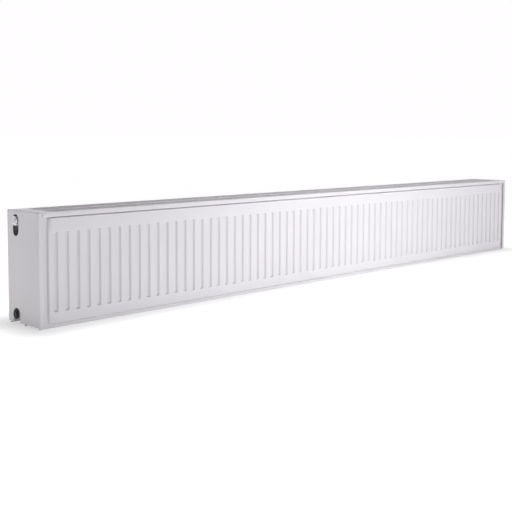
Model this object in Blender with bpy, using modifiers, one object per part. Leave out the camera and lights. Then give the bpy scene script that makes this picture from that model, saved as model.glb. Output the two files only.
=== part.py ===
"""Steel panel radiator with three water panels and three convectors, 300 mm high and 2300 mm long.

Frame: +X along the length, front face towards -Y, +Z up. The origin is the bottom centre of the whole box.
Each panel is two pressed sheets seam-welded round the rim. Four tees join the middle and rear panels and
carry the half-inch tappings at the ends; four spacer tubes join the front and middle panels.
"""

import math

import bmesh
import bpy
from mathutils import Matrix, Vector

# Overall sizes
LENGTH = 2.300  # across the side covers, which are flush with the tapping faces
HEIGHT = 0.300
DEPTH = 0.155  # front lip of the grille to the rear edge of the side covers
STANDOFF = 0.012  # how far the hanging lugs reach behind the side covers
END = LENGTH / 2
BODY_Y = -STANDOFF / 2  # middle of DEPTH
FRONT_Y = BODY_Y - DEPTH / 2
BACK_Y = BODY_Y + DEPTH / 2
GAP = 0.0003  # clearance between pieces that touch
PAST = 0.010  # how far a cutter reaches past what it cuts

# Pressed sheets
SHEET = 0.0012
PRESS_DEPTH = 0.00495
PANEL_HALF = GAP / 2 + SHEET + PRESS_DEPTH  # from a panel's middle plane to its proud face
PANEL_INSET = 0.002  # proud face behind the edge of the covers
PANEL_SPACING = DEPTH / 2 - PANEL_INSET - PANEL_HALF
PANEL_END = END - 0.0028
PANEL_TOP = 0.297
RIM = 0.010
END_RIM = 0.024  # at the ends of the two outermost sheets
SLOPE = 0.003  # width of every pressed wall, seen from the front

# Grooves between the waterways
GROOVE_PITCH = 0.100 / 3
GROOVE_COUNT = 67
GROOVE_WIDTH = 0.015
GROOVE_LOW = 0.040
GROOVE_HIGH = 0.250

# Convectors
FIN_SHEET = 0.0005
FIN_PITCH = 2 * GROOVE_PITCH
FIN_COUNT = 32
FIN_LOW = 0.045
FIN_HIGH = 0.262
FIN_CREST = 0.40  # share of a pitch that lies flat, on each side
PANEL_GAP = PANEL_SPACING - 2 * PANEL_HALF
FIN_DEPTH = (PANEL_GAP - 4 * GAP) / 2

# Tees, spacer tubes and tappings
TAPPING_LOW = 0.027
TAPPING_HIGH = 0.273
TEE_X = END - 0.035
TEE_RADIUS = 0.0135
BOSS_RADIUS = 0.013
TEE_BORE = 0.008
TAPPING_BORE = 0.0095
TAPPING_Y = BODY_Y + PANEL_SPACING / 2
TUBE_Y = BODY_Y - PANEL_SPACING / 2
TEE_SIDES = 20
BOSS_ROOT = 0.002  # the boss and its bore start past the tube's axis, so that their walls cross cleanly
TAPPING_ROOT = 0.001
PORT_SIDES = 12

# Side covers and grille
COVER_SHEET = 0.001
COVER_FLANGE = 0.012
COVER_BOTTOM = 0.005
SLOT_RADIUS = 0.014
SLOT_LOW = 0.233
SLOT_HIGH = 0.290
NOTCH_RADIUS = 0.016
GRILLE_END = END - COVER_FLANGE - GAP
GRILLE_LIP = 0.012
VENT_PITCH = 0.100
VENT_COUNT = 22
VENT_LENGTH = 0.088
VENT_WIDTH = 0.058

# Hanging lugs: a top-hat strap that the wall bracket hooks into from below
LUG_SHEET = 0.003
LUG_HEIGHT = 0.050
LUG_WEB = 0.034
LUG_FOOT = 0.013
LUG_X = (-0.900, 0.0, 0.900)
LUG_Z = (0.075, 0.215)

# Spring clips
CLIP_SHEET = 0.0008
CLIP_WIDTH = 0.014
CLIP_LEG = 0.0095
CLIP_X = (-0.900, -0.300, 0.300, 0.900)
CLIP_Z = 0.150

# fittings: radii, and heights out from the tapping face
CHAMFER = 0.0005
HEAD_RADIUS = 0.0125
HEAD_SEAT = 0.0020
THREAD_RADIUS = 0.0091
THREAD_END = -0.0100
SEAL_RADII = (0.0097, 0.0118)
SEAL_HEIGHTS = (0.0003, 0.0017)
VENT_RIM = 0.0040
RECESS_RADIUS = 0.0089
RECESS_FLOOR = 0.0028
OUTLET_RADIUS = 0.0020  # the water's way through the vent plug's end
OUTLET_TOP = -0.0075
CONE_TOP = -0.0055  # the seat that the bleed screw closes on
SCREW_BORE = 0.0044
NOZZLE_RADII = (0.0046, 0.0086)
NOZZLE_HEIGHTS = (0.0031, 0.0058)
SPOUT_HEIGHTS = (0.0043, 0.0056)
SPOUT_WIDTH = 0.0040
SPOUT_ROOT = 0.0065
SPOUT_REACH = 0.0108
SCREW_RADIUS = 0.0041
SHANK_TOP = 0.0030
NECK_RADIUS = 0.0031
NECK_TOP = -0.0002
NECK_LOW = -0.0020
TAPER_TOP = -0.0050
TIP_RADIUS = 0.0018
TIP_END = -0.0072
SQUARE = 0.0050
SQUARE_TOP = 0.0056
RING_RADIUS = 0.00375
RING_TUBE = 0.0005
RING_SIDES = 6
BLANK_TOP = 0.0052
SOCKET_RADIUS = 0.0058
SOCKET_FLOOR = 0.0005
FLANGE_RADIUS = 0.0135
FLANGE_TOP = 0.0033
KNOB_RADIUS = 0.0076
KNOB_TOP = 0.0060
SKIRT_RADIUS = 0.0090
SKIRT_END = -0.0095
HOLLOW_RADIUS = 0.0072
HOLLOW_TOP = -0.0010

# steps round the axis of a turned piece
TURN_STEPS = 24
SMALL_STEPS = 16

COLOURS = {
    "white_enamel": ((0.86, 0.86, 0.87), 0.35, 0.0),
    "galvanised": ((0.62, 0.63, 0.64), 0.4, 1.0),
    "chrome": ((0.80, 0.80, 0.81), 0.15, 1.0),
    "white_plastic": ((0.85, 0.85, 0.83), 0.4, 0.0),
    "black_plastic": ((0.02, 0.02, 0.02), 0.35, 0.0),
    "rubber": ((0.03, 0.03, 0.03), 0.7, 0.0),
}


def clear_scene():
    for obj in list(bpy.data.objects):
        bpy.data.objects.remove(obj, do_unlink=True)


def new_collection(name):
    collection = bpy.data.collections.new(name)
    bpy.context.scene.collection.children.link(collection)
    return collection


def make_material(name):
    colour, roughness, metallic = COLOURS[name]
    material = bpy.data.materials.new(name)
    material.use_nodes = True
    shader = material.node_tree.nodes["Principled BSDF"]
    shader.inputs["Base Color"].default_value = (*colour, 1.0)
    shader.inputs["Roughness"].default_value = roughness
    shader.inputs["Metallic"].default_value = metallic
    return material


clear_scene()
RADIATOR = new_collection("panel_radiator")
CUTTERS = new_collection("cutters")
MATERIALS = {name: make_material(name) for name in COLOURS}


def add_object(name, bm, material):
    """An object made from bm; one without a material is a cutter."""
    mesh = bpy.data.meshes.new(name)
    bm.to_mesh(mesh)
    bm.free()
    obj = bpy.data.objects.new(name, mesh)
    if material:
        mesh.materials.append(MATERIALS[material])
        RADIATOR.objects.link(obj)
    else:
        CUTTERS.objects.link(obj)
        obj.hide_render = True
        obj.display_type = "WIRE"
    return obj


def combine(obj, other, operation):
    modifier = obj.modifiers.new(operation.lower(), "BOOLEAN")
    modifier.operation = operation
    modifier.object = other
    modifier.solver = "EXACT"


def smooth(obj, degrees=35):
    obj.data.shade_smooth()
    obj.data.set_sharp_from_angle(angle=math.radians(degrees))


def box_mesh(low, high):
    bm = bmesh.new()
    size = Vector(high) - Vector(low)
    centre = (Vector(high) + Vector(low)) / 2
    bmesh.ops.create_cube(bm, size=1.0, matrix=Matrix.Translation(centre) @ Matrix.Diagonal((*size, 1.0)))
    return bm


def cylinder_mesh(radius, start, end, sides):
    """A closed cylinder from start to end, which differ along one axis only."""
    along = Vector(end) - Vector(start)
    middle = (Vector(start) + Vector(end)) / 2
    turn = Vector((0, 0, 1)).rotation_difference(along).to_matrix().to_4x4()
    bm = bmesh.new()
    bmesh.ops.create_cone(
        bm,
        cap_ends=True,
        segments=sides,
        radius1=radius,
        radius2=radius,
        depth=along.length,
        matrix=Matrix.Translation(middle) @ turn,
    )
    return bm


def ribbon_mesh(outline, axis, length):
    """An open strip: the outline, a list of points, carried straight along axis by length."""
    bm = bmesh.new()
    points = [bm.verts.new(point) for point in outline]
    edges = [bm.edges.new(pair) for pair in zip(points, points[1:])]
    made = bmesh.ops.extrude_edge_only(bm, edges=edges)
    moved = [item for item in made["geom"] if isinstance(item, bmesh.types.BMVert)]
    bmesh.ops.translate(bm, vec=Vector(axis) * length, verts=moved)
    bmesh.ops.recalc_face_normals(bm, faces=bm.faces[:])
    return bm


def thicken(obj, thickness):
    solidify = obj.modifiers.new("sheet", "SOLIDIFY")
    solidify.thickness = thickness
    solidify.offset = 0.0
    solidify.use_even_offset = True


def turned(name, profile, place, outward, material, steps=TURN_STEPS):
    """A profile of (radius, height) turned about X at place; height grows towards outward, -1 or +1."""
    bm = bmesh.new()
    points = [bm.verts.new((radius, 0.0, height)) for radius, height in profile]
    for pair in zip(points, points[1:]):
        bm.edges.new(pair)
    if profile[0][0] > 0:
        bm.edges.new((points[-1], points[0]))
    obj = add_object(name, bm, material)
    screw = obj.modifiers.new("turned", "SCREW")
    screw.axis = "Z"
    screw.steps = steps
    screw.render_steps = steps
    screw.use_merge_vertices = True
    screw.merge_threshold = 0.00001
    obj.location = place
    obj.rotation_euler = (0.0, outward * math.pi / 2, 0.0)
    smooth(obj)
    return obj


# ---- water panels ----


def sheet_lines(grooved):
    """The X lines and Z lines of a pressed sheet, each with what the press does there: rim, field or floor."""
    field_end = PANEL_END - (END_RIM if grooved else RIM)
    across = [(-PANEL_END, "rim"), (-field_end, "rim"), (-field_end + SLOPE, "field")]
    for i in range(GROOVE_COUNT if grooved else 0):
        middle = (i - (GROOVE_COUNT - 1) / 2) * GROOVE_PITCH
        half = GROOVE_WIDTH / 2
        across += [(middle - half, "field"), (middle - half + SLOPE, "floor")]
        across += [(middle + half - SLOPE, "floor"), (middle + half, "field")]
    across += [(field_end - SLOPE, "field"), (field_end, "rim"), (PANEL_END, "rim")]
    up = [(0.0, "rim"), (RIM, "rim"), (RIM + SLOPE, "field")]
    if grooved:
        up += [(GROOVE_LOW, "field"), (GROOVE_LOW + SLOPE, "floor")]
        up += [(GROOVE_HIGH - SLOPE, "floor"), (GROOVE_HIGH, "field")]
    up += [(PANEL_TOP - RIM - SLOPE, "field"), (PANEL_TOP - RIM, "rim"), (PANEL_TOP, "rim")]
    return across, up


def split_corner(face, raised):
    """Folds a bent quad along the diagonal through its odd corner, which mitres the pressed walls."""
    high = [corner for corner in face.verts if corner in raised]
    low = [corner for corner in face.verts if corner not in raised]
    if len(high) not in (1, 3):
        return
    odd = high[0] if len(high) == 1 else low[0]
    corners = list(face.verts)
    opposite = corners[(corners.index(odd) + 2) % 4]
    bmesh.utils.face_split(face, odd, opposite)


def pressed_sheet(name, middle_y, bulge, grooved):
    """One sheet of a panel. Its rim lies on the panel's middle plane and its field bulges to -Y or +Y."""
    across, up = sheet_lines(grooved)
    bm = bmesh.new()
    bmesh.ops.create_grid(bm, x_segments=len(across) - 1, y_segments=len(up) - 1, size=1.0)
    raised = set()
    for corner in bm.verts:
        x, x_state = across[round((corner.co.x + 1) / 2 * (len(across) - 1))]
        z, z_state = up[round((corner.co.y + 1) / 2 * (len(up) - 1))]
        low = "rim" in (x_state, z_state) or (x_state == z_state == "floor")
        height = GAP / 2 if low else GAP / 2 + PRESS_DEPTH
        if not low:
            raised.add(corner)
        corner.co = (x, middle_y + bulge * height, z)
    for face in list(bm.faces):
        split_corner(face, raised)
    made = bmesh.ops.extrude_face_region(bm, geom=bm.faces[:])
    moved = [item for item in made["geom"] if isinstance(item, bmesh.types.BMVert)]
    bmesh.ops.translate(bm, vec=(0.0, bulge * SHEET, 0.0), verts=moved)
    bmesh.ops.recalc_face_normals(bm, faces=bm.faces[:])
    return add_object(name, bm, "white_enamel")


def port_cutter(name, y):
    """Four cylinders that pierce a sheet at y where the tees or the spacer tubes open into it."""
    bm = bmesh.new()
    for x in (-TEE_X, TEE_X):
        for z in (TAPPING_LOW, TAPPING_HIGH):
            one = cylinder_mesh(TEE_BORE, (x, y - PAST, z), (x, y + PAST, z), PORT_SIDES)
            mesh = bpy.data.meshes.new("port")
            one.to_mesh(mesh)
            one.free()
            bm.from_mesh(mesh)
            bpy.data.meshes.remove(mesh)
    return add_object(name, bm, None)


def water_panels():
    """Front, middle and rear panels; the outermost sheets show their grooves, the others take the ports."""
    for place, middle_y in (
        ("front", BODY_Y - PANEL_SPACING),
        ("middle", BODY_Y),
        ("rear", BODY_Y + PANEL_SPACING),
    ):
        for bulge, side in ((-1, "front"), (1, "back")):
            outermost = place == side or (place, side) == ("rear", "back")
            sheet = pressed_sheet(f"{place}_panel_{side}_sheet", middle_y, bulge, outermost)
            if not outermost:
                ports = port_cutter(f"{place}_{side}_ports", middle_y + bulge * PANEL_HALF)
                combine(sheet, ports, "DIFFERENCE")


# ---- convectors ----


def convector(name, panel_face, towards):
    """A folded fin sheet that starts on panel_face and stands out FIN_DEPTH towards -Y or +Y."""
    foot = panel_face + towards * (GAP + FIN_SHEET / 2)
    crest = panel_face + towards * (GAP + FIN_DEPTH - FIN_SHEET / 2)
    outline = []
    for i in range(FIN_COUNT):
        middle = (i - (FIN_COUNT - 1) / 2) * FIN_PITCH
        half_crest = FIN_PITCH * FIN_CREST / 2
        half_base = FIN_PITCH * (1 - FIN_CREST) / 2
        outline += [(middle - half_base, foot, FIN_LOW), (middle - half_crest, crest, FIN_LOW)]
        outline += [(middle + half_crest, crest, FIN_LOW), (middle + half_base, foot, FIN_LOW)]
    obj = add_object(name, ribbon_mesh(outline, (0, 0, 1), FIN_HIGH - FIN_LOW), "white_enamel")
    thicken(obj, FIN_SHEET)


def convectors():
    convector("front_convector", BODY_Y - PANEL_SPACING + PANEL_HALF, 1)
    convector("middle_convector", BODY_Y - PANEL_HALF, -1)
    convector("rear_convector", BODY_Y + PANEL_SPACING - PANEL_HALF, -1)


# ---- waterway connections ----


def gap_ends(y):
    return y - PANEL_GAP / 2 + GAP, y + PANEL_GAP / 2 - GAP


def tee(name, side, z):
    """A tube between the middle and rear panels with a tapped boss that opens at the radiator's end."""
    low_y, high_y = gap_ends(TAPPING_Y)
    x = side * TEE_X
    body = add_object(
        name, cylinder_mesh(TEE_RADIUS, (x, low_y, z), (x, high_y, z), TEE_SIDES), "white_enamel"
    )
    root = x + side * BOSS_ROOT
    boss = cylinder_mesh(BOSS_RADIUS, (root, TAPPING_Y, z), (side * END, TAPPING_Y, z), TEE_SIDES)
    combine(body, add_object(name + "_boss", boss, None), "UNION")
    water = cylinder_mesh(TEE_BORE, (x, low_y - PAST, z), (x, high_y + PAST, z), PORT_SIDES)
    combine(body, add_object(name + "_water", water, None), "DIFFERENCE")
    mouth = (side * (END + PAST), TAPPING_Y, z)
    tapping = cylinder_mesh(TAPPING_BORE, (x + side * TAPPING_ROOT, TAPPING_Y, z), mouth, TEE_SIDES)
    combine(body, add_object(name + "_tapping", tapping, None), "DIFFERENCE")


def spacer_tube(name, side, z):
    low_y, high_y = gap_ends(TUBE_Y)
    x = side * TEE_X
    tube = add_object(
        name, cylinder_mesh(TEE_RADIUS, (x, low_y, z), (x, high_y, z), PORT_SIDES), "white_enamel"
    )
    water = cylinder_mesh(TEE_BORE, (x, low_y - PAST, z), (x, high_y + PAST, z), PORT_SIDES)
    combine(tube, add_object(name + "_water", water, None), "DIFFERENCE")


def connections():
    for side, end in ((-1, "left"), (1, "right")):
        for level, z in (("bottom", TAPPING_LOW), ("top", TAPPING_HIGH)):
            tee(f"tee_{level}_{end}", side, z)
            spacer_tube(f"spacer_tube_{level}_{end}", side, z)


# ---- side covers and grille ----


def round_slot_cutter(name, side, radius, low, high):
    """A long hole with round ends through a side cover, from low to high in Z."""
    x_in = side * (END - 4 * COVER_SHEET)
    x_out = side * (END + 4 * COVER_SHEET)
    bm = cylinder_mesh(radius, (x_in, TAPPING_Y, low + radius), (x_out, TAPPING_Y, low + radius), 24)
    for corner in bm.verts:
        if corner.co.z > low + radius:
            corner.co.z += high - low - 2 * radius
    return add_object(name, bm, None)


def side_cover(name, side):
    """A shallow folded tray over the ends of the panels, open below."""
    inner_x = side * (END - COVER_FLANGE)
    low = (min(inner_x, side * END), FRONT_Y, COVER_BOTTOM)
    high = (max(inner_x, side * END), BACK_Y, HEIGHT)
    cover = add_object(name, box_mesh(low, high), "white_enamel")
    face_x = side * (END - COVER_SHEET)
    past_x = side * (END - COVER_FLANGE - PAST)
    hollow_low = (min(face_x, past_x), FRONT_Y + COVER_SHEET, COVER_BOTTOM - PAST)
    hollow_high = (max(face_x, past_x), BACK_Y - COVER_SHEET, HEIGHT - COVER_SHEET)
    hollow = add_object(name + "_hollow", box_mesh(hollow_low, hollow_high), None)
    combine(cover, hollow, "DIFFERENCE")
    slot = round_slot_cutter(name + "_slot", side, SLOT_RADIUS, SLOT_LOW, SLOT_HIGH)
    combine(cover, slot, "DIFFERENCE")
    notch_top = TAPPING_LOW + NOTCH_RADIUS
    notch = round_slot_cutter(name + "_notch", side, NOTCH_RADIUS, -2 * PAST, notch_top)
    combine(cover, notch, "DIFFERENCE")


def top_grille():
    """A channel over the top of the panels, with two lanes of air openings."""
    half = COVER_SHEET / 2
    front, back = FRONT_Y + half, BACK_Y - half
    low, top = HEIGHT - GRILLE_LIP, HEIGHT - half
    outline = [(-GRILLE_END, y, z) for y, z in ((front, low), (front, top), (back, top), (back, low))]
    grille = add_object("top_grille", ribbon_mesh(outline, (1, 0, 0), 2 * GRILLE_END), "white_enamel")
    thicken(grille, COVER_SHEET)
    for lane, y in (("front", TUBE_Y), ("rear", TAPPING_Y)):
        vents = bmesh.new()
        for i in range(VENT_COUNT):
            x = (i - (VENT_COUNT - 1) / 2) * VENT_PITCH
            place = Matrix.Translation((x, y, HEIGHT))
            size = Matrix.Diagonal((VENT_LENGTH, VENT_WIDTH, PAST, 1.0))
            bmesh.ops.create_cube(vents, size=1.0, matrix=place @ size)
        combine(grille, add_object(f"{lane}_lane_vents", vents, None), "DIFFERENCE")


# ---- lugs and clips ----


def hanging_lugs():
    """Top-hat straps on the back of the rear panel, in two rows of three."""
    foot_y = BODY_Y + PANEL_SPACING + PANEL_HALF + GAP + LUG_SHEET / 2
    web_y = BACK_Y + STANDOFF - LUG_SHEET / 2
    half = LUG_WEB / 2 - LUG_SHEET / 2
    for level, z in zip(("lower", "upper"), LUG_Z):
        for place, x in zip(("left", "middle", "right"), LUG_X):
            low = z - LUG_HEIGHT / 2
            outline = [
                (x - half - LUG_FOOT, foot_y, low),
                (x - half, foot_y, low),
                (x - half, web_y, low),
                (x + half, web_y, low),
                (x + half, foot_y, low),
                (x + half + LUG_FOOT, foot_y, low),
            ]
            strap = ribbon_mesh(outline, (0, 0, 1), LUG_HEIGHT)
            lug = add_object(f"hanging_lug_{level}_{place}", strap, "white_enamel")
            thicken(lug, LUG_SHEET)


def saddle_clip(name, seat, outward, along):
    """A U-shaped spring clip over a seam edge. seat is the middle of the edge, along the clip's width."""
    half = GAP / 2 + SHEET + GAP + CLIP_SHEET / 2
    web = Vector(seat) + Vector(outward) * (GAP + CLIP_SHEET / 2)
    start = web - Vector(along) * CLIP_WIDTH / 2
    leg = Vector(outward) * CLIP_LEG
    step = Vector((0, half, 0))
    outline = [start - leg - step, start - step, start + step, start - leg + step]
    clip = add_object(name, ribbon_mesh(outline, along, CLIP_WIDTH), "galvanised")
    thicken(clip, CLIP_SHEET)


def clips():
    for number, x in enumerate(CLIP_X, 1):
        saddle_clip(f"grille_clip_{number}", (x, BODY_Y, PANEL_TOP), (0, 0, 1), (1, 0, 0))
    for side, end in ((-1, "left"), (1, "right")):
        for place, y in (("front", BODY_Y - PANEL_SPACING), ("rear", BODY_Y + PANEL_SPACING)):
            seat = (side * PANEL_END, y, CLIP_Z)
            saddle_clip(f"cover_clip_{end}_{place}", seat, (side, 0, 0), (0, 0, 1))


# ---- fittings in the tappings ----


def face_seal(name, place, side):
    inner, outer = SEAL_RADII
    low, high = SEAL_HEIGHTS
    edge = outer - CHAMFER
    profile = [(edge, high), (outer, (low + high) / 2), (edge, low), (inner, low), (inner, high)]
    turned(name, profile, place, side, "rubber")


def plug_shank(top):
    """The head's rim and the threaded shank of a plug, from the head's top down to the shank's end."""
    return [
        (HEAD_RADIUS - CHAMFER, top),
        (HEAD_RADIUS, top - CHAMFER),
        (HEAD_RADIUS, HEAD_SEAT),
        (THREAD_RADIUS, HEAD_SEAT),
        (THREAD_RADIUS, THREAD_END + CHAMFER),
        (THREAD_RADIUS - CHAMFER, THREAD_END),
    ]


def air_vent(place, side):
    """The bleed valve: plug and face seal, swivelling nozzle, and the bleed screw with its ring."""
    plug = plug_shank(VENT_RIM) + [(OUTLET_RADIUS, THREAD_END), (OUTLET_RADIUS, OUTLET_TOP)]
    plug += [(SCREW_BORE, CONE_TOP), (SCREW_BORE, RECESS_FLOOR)]
    plug += [(RECESS_RADIUS, RECESS_FLOOR), (RECESS_RADIUS, VENT_RIM)]
    turned("vent_plug", plug, place, side, "chrome")
    face_seal("vent_plug_seal", place, side)

    inner, outer = NOZZLE_RADII
    low, high = NOZZLE_HEIGHTS
    ring = [(outer - CHAMFER, high), (outer, high - CHAMFER), (outer, low), (inner, low), (inner, high)]
    nozzle = turned("vent_nozzle", ring, place, side, "white_plastic")
    x, y, z = place
    low_x, high_x = sorted(x + side * height for height in SPOUT_HEIGHTS)
    half = SPOUT_WIDTH / 2
    spout = box_mesh((low_x, y - half, z - SPOUT_REACH), (high_x, y + half, z - SPOUT_ROOT))
    combine(nozzle, add_object("vent_nozzle_spout", spout, None), "UNION")

    shank = [(0.0, SHANK_TOP), (SCREW_RADIUS - CHAMFER, SHANK_TOP), (SCREW_RADIUS, SHANK_TOP - CHAMFER)]
    shank += [(SCREW_RADIUS, NECK_TOP), (NECK_RADIUS, NECK_TOP), (NECK_RADIUS, NECK_LOW)]
    shank += [(SCREW_RADIUS, NECK_LOW), (SCREW_RADIUS, TAPER_TOP), (TIP_RADIUS, TIP_END), (0.0, TIP_END)]
    screw = turned("bleed_screw", shank, place, side, "chrome", SMALL_STEPS)
    low_x, high_x = sorted((x + side * HEAD_SEAT, x + side * SQUARE_TOP))
    half = SQUARE / 2
    square = box_mesh((low_x, y - half, z - half), (high_x, y + half, z + half))
    combine(screw, add_object("bleed_screw_square", square, None), "UNION")

    section = []
    for i in range(RING_SIDES):
        angle = -2 * math.pi * i / RING_SIDES
        section.append((RING_RADIUS + RING_TUBE * math.cos(angle), RING_TUBE * math.sin(angle)))
    middle = (x + side * (NECK_TOP + NECK_LOW) / 2, y, z)
    turned("bleed_screw_ring", section, middle, side, "rubber", SMALL_STEPS)


def blank_plug(place, side):
    profile = [(0.0, BLANK_TOP)] + plug_shank(BLANK_TOP) + [(0.0, THREAD_END)]
    plug = turned("blank_plug", profile, place, side, "chrome")
    x, y, z = place
    bottom, top = x + side * SOCKET_FLOOR, x + side * (BLANK_TOP + PAST)
    socket = cylinder_mesh(SOCKET_RADIUS, (bottom, y, z), (top, y, z), 6)
    combine(plug, add_object("blank_plug_socket", socket, None), "DIFFERENCE")
    face_seal("blank_plug_seal", place, side)


def transport_cap(name, place, side):
    """A push-in cap: a flange on the tapping face, a pull knob outside and a hollow skirt inside."""
    profile = [(0.0, KNOB_TOP), (KNOB_RADIUS - 2 * CHAMFER, KNOB_TOP), (KNOB_RADIUS, FLANGE_TOP)]
    profile += [(FLANGE_RADIUS - CHAMFER, FLANGE_TOP), (FLANGE_RADIUS, FLANGE_TOP - CHAMFER)]
    profile += [(FLANGE_RADIUS, GAP), (SKIRT_RADIUS, GAP), (SKIRT_RADIUS - GAP, SKIRT_END)]
    profile += [(HOLLOW_RADIUS, SKIRT_END), (HOLLOW_RADIUS, HOLLOW_TOP), (0.0, HOLLOW_TOP)]
    turned(name, profile, place, side, "black_plastic")


def fittings():
    air_vent((-END, TAPPING_Y, TAPPING_HIGH), -1)
    blank_plug((END, TAPPING_Y, TAPPING_HIGH), 1)
    transport_cap("tapping_cap_left", (-END, TAPPING_Y, TAPPING_LOW), -1)
    transport_cap("tapping_cap_right", (END, TAPPING_Y, TAPPING_LOW), 1)


water_panels()
convectors()
connections()
side_cover("side_cover_left", -1)
side_cover("side_cover_right", 1)
top_grille()
hanging_lugs()
clips()
fittings()
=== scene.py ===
"""Looks of the panel radiator: sheet metal, fittings, materials, light and camera."""

import math

import bmesh
import bpy
import numpy as np
from mathutils import Matrix, Vector


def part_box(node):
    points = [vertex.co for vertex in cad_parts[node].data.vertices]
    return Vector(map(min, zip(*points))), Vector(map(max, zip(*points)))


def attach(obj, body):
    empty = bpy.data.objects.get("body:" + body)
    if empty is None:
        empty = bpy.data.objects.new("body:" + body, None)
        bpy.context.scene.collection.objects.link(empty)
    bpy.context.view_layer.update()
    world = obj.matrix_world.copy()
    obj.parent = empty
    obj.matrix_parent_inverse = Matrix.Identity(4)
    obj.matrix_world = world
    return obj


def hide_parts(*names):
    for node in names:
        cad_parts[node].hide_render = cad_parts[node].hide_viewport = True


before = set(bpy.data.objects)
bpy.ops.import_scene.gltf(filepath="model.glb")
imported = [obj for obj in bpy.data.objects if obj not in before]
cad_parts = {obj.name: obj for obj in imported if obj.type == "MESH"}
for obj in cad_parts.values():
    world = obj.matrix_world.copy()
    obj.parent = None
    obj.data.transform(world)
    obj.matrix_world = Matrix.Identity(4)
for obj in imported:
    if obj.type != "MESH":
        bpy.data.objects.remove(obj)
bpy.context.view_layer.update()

# ---- driving dimensions, read from the frame ----
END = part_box("side_cover_right")[1].x  # the fittings' outer faces lie on the side covers' faces
FRONT_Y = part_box("side_cover_left")[0].y
BACK_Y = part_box("side_cover_left")[1].y
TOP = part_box("top_grille")[1].z
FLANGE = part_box("side_cover_left")[1].x + END
MIDDLE_Y = (FRONT_Y + BACK_Y) / 2
FITTING_Y = (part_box("vent_plug")[0].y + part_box("vent_plug")[1].y) / 2
FITTING_HIGH = (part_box("vent_plug")[0].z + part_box("vent_plug")[1].z) / 2
FITTING_LOW = (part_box("tapping_cap_left")[0].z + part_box("tapping_cap_left")[1].z) / 2
VENT_PLACE = (-END, FITTING_Y, FITTING_HIGH)

# ---- pressed sheets, metres ----
SHEET = 0.0012
RIM = 0.010
END_RIM = 0.024  # at the ends of the two outermost sheets
SLOPE = 0.0034  # how far a pressed step takes to rise
FIELD_CORNER = 0.009
SEAM_FROM_EDGE = 0.005
SEAM_HALF = 0.0016
SEAM_DEPTH = 0.0006
CREASE_HALF = 0.0013
CREASE_DEPTH = 0.0007
GROOVE_PITCH = 0.100 / 3
GROOVE_COUNT = 67
GROOVE_HALF = 0.0075
GROOVE_LOW = 0.040
GROOVE_HIGH = 0.250
GROOVE_CORNER = 0.0042
SPOT_HEIGHTS = (0.082, 0.145, 0.208)
SPOT_RADIUS = 0.003
SPOT_FLAT = 0.4  # the flat middle, as a part of the radius
SPOT_DEPTH = 0.0003
PORT_RADIUS = 0.008

# ---- mesh lines where the press bends a sheet, metres ----
FLOOR_LINE = 0.0020  # from a groove's middle
WALL_LINES = np.array([-0.0009, 0.0003, 0.0013, 0.0025, 0.0035])  # inwards from a groove's outline
STEP_LINES = np.array([CREASE_HALF, 0.0022, SLOPE - 0.0003, SLOPE + 0.0009])  # inwards from the rim
PLAIN_LINES = np.linspace(0.0, SLOPE, 3)  # in place of all three on the four inner sheets

# ---- convectors, metres ----
FIN_SHEET = 0.0005
FIN_COUNT = GROOVE_COUNT - 4
FIN_BEND = 0.0018
FIN_FOOT_HALF = 0.0072
FIN_CREST_HALF = 0.0058

# ---- waterway connections, metres ----
BOSS_RADIUS = 0.013
BOSS_FROM_TUBE = 0.002  # outwards from the tube's middle
BOSS_CHAMFER = 0.0006
TAPPING_RADIUS = 0.0095
TAPPING_FROM_TUBE = 0.001
WELD_RADIUS = 0.0011
WELD_PROUD = 0.0002
WELD_FROM_END = 0.0012

# ---- side covers and grille, metres ----
COVER_SHEET = 0.001
BEND = 0.0022
RETURN = 0.0048  # the edge that each flange and lip turns in
SLOT_RADIUS = 0.014
SLOT_LOW = 0.233
SLOT_HIGH = 0.290
NOTCH_RADIUS = 0.016
NOTCH_LOW = -0.020  # below the floor, so the notch is open
RELIEF_RADIUS = 0.0019
RELIEF_DEPTH = 0.0035
RELIEF_FROM_SIDE = 0.0065
RELIEF_FROM_TOP = 0.0014
VENT_PITCH = GROOVE_PITCH / 3
VENT_COUNT = 198
VENT_LENGTH = 0.058
VENT_WIDTH = 0.0066
BEAD_HALF = 0.0036
BEAD_SLOPE = 0.0015
BEAD_DEPTH = 0.0005
BEAD_BEND = 0.0012

# ---- lugs and clips, metres ----
LUG_SHEET = 0.003
LUG_BEND = 0.0026
LUG_FOOT = 0.013
DIMPLE_RADIUS = 0.0026
DIMPLE_PROUD = 0.0018  # from the foot's face to the middle of the ball that dents it
DIMPLE_FROM_WEB = 0.0085
DIMPLE_FROM_END = 0.014
CLIP_SHEET = 0.0008
CLIP_BEND = 0.0007
CLIP_LEAD = 0.0022
CLIP_PINCH = 0.00045

# ---- fittings, metres; heights are outwards from the fittings' outer faces ----
GRIP_COUNT = 6
GRIP_RADIUS = 0.0021
GRIP_CIRCLE = 0.0136
GRIP_HEIGHTS = (0.0019, 0.006)
SPOUT_HALF = 0.0020
SPOUT_LENGTH = 0.0043
SPOUT_HEIGHTS = (0.0043, 0.0056)
SPOUT_ROUNDING = 0.0005
OUTLET_RADIUS = 0.0004
OUTLET_HEIGHT = 0.00495
OUTLET_PAST = 0.001
OUTLET_DEPTH = 0.003
SQUARE_HALF = 0.0025
SQUARE_HEIGHTS = (0.0020, 0.0056)
SQUARE_ROUNDING = 0.0003
SLIT_HALF = 0.0005
SLIT_REACH = 0.0040
SLIT_HEIGHTS = (0.0042, 0.0070)
O_RING_RADIUS = 0.00375
O_RING_TUBE = 0.0005
O_RING_HEIGHT = -0.0011
SOCKET_RADIUS = 0.0058
SOCKET_FLOOR = 0.0005
LEAD_IN_RADII = (0.0052, 0.0066)
LEAD_IN_HEIGHTS = (0.0044, 0.0056)
RIB_COUNT = 8
RIB_HALF = 0.0005
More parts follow.
